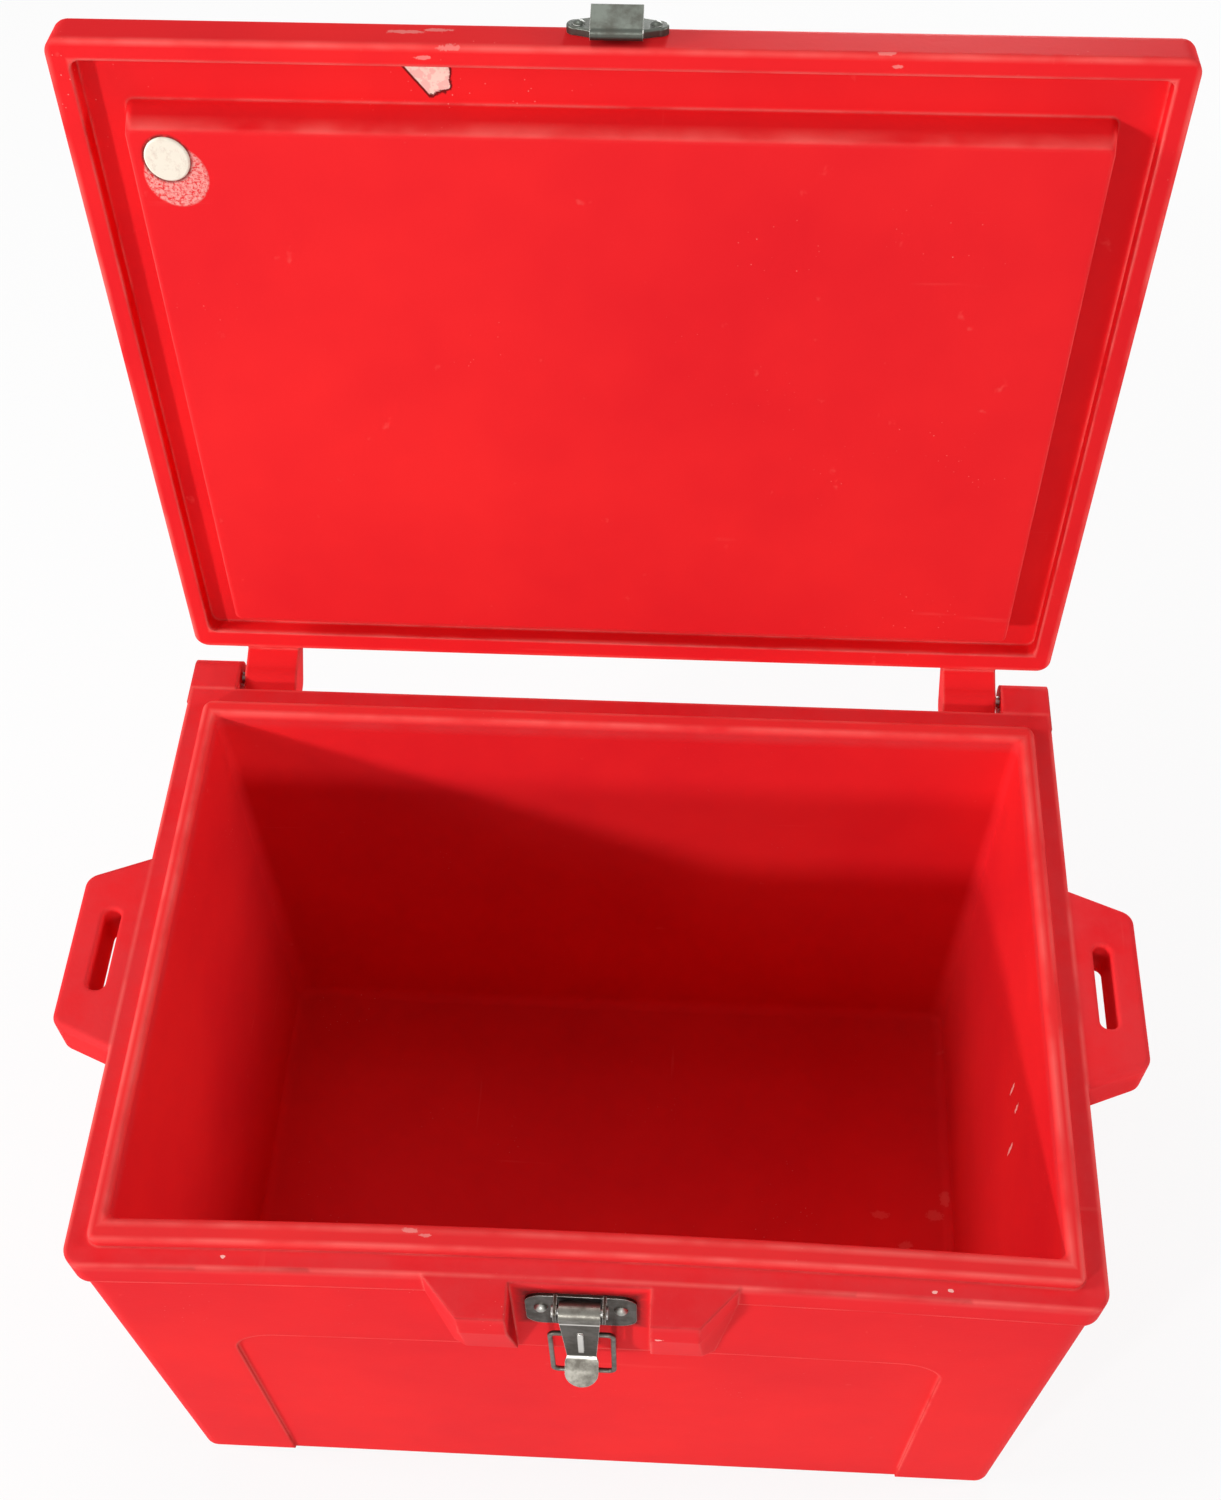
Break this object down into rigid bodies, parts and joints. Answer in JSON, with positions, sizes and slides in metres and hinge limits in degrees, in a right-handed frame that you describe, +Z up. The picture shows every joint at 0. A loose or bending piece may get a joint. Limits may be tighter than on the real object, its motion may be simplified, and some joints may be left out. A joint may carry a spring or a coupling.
{
  "type": "specimen transport box",
  "caption": "Red insulated specimen transport box with a hinged lid, carrying lugs and a steel toggle latch, lid open.",
  "frame": {"origin": "centre of the tub's underside, on the surface it stands on", "axes": "+X to the right, +Y to the hinge at the back, +Z up; the latch faces -Y"},
  "size_m": [0.521, 0.4257, 0.6324],
  "materials": {
    "red_polyethylene": "satin moulded polyethylene",
    "insulating_foam": "rigid closed-cell foam",
    "white_plug": "natural polyethylene",
    "pin_steel": "drawn steel",
    "latch_steel": "pressed stainless sheet",
    "wire_steel": "drawn stainless wire",
    "rivet_steel": "domed steel rivets"
  },
  "bodies": {
    "body": {"body_shell": "red_polyethylene", "body_foam_core": "insulating_foam", "body_fill_plug": "white_plug", "hinge_pin_left": "pin_steel", "hinge_pin_right": "pin_steel", "latch_base_plate": "latch_steel", "latch_pivot_pin": "pin_steel", "latch_rivet_left": "rivet_steel", "latch_rivet_right": "rivet_steel", "latch_washer_left": "rivet_steel", "latch_washer_right": "rivet_steel"},
    "lever": {"latch_lever": "latch_steel"},
    "bail": {"latch_bail": "wire_steel"},
    "lid": {"lid_shell": "red_polyethylene", "lid_foam_core": "insulating_foam", "lid_fill_plug": "white_plug", "keeper_plate": "latch_steel", "keeper_rivet_left": "rivet_steel", "keeper_rivet_right": "rivet_steel", "keeper_washer_left": "rivet_steel", "keeper_washer_right": "rivet_steel"}
  },
  "joints": [
    {"name": "lid_hinge", "type": "hinge", "parent": "body", "child": "lid", "pos_m": [0, 0.179, 0.281], "axis": [1, 0, 0], "range_deg": [0, 95.5]},
    {"name": "lever_hinge", "type": "hinge", "parent": "body", "child": "lever", "pos_m": [0, -0.1695, 0.275], "axis": [-1, 0, 0], "range_deg": [0, 100]},
    {"name": "bail_hinge", "type": "hinge", "parent": "lever", "child": "bail", "pos_m": [0, -0.1695, 0.246], "axis": [-1, 0, 0], "range_deg": [0, 100]}
  ]
}
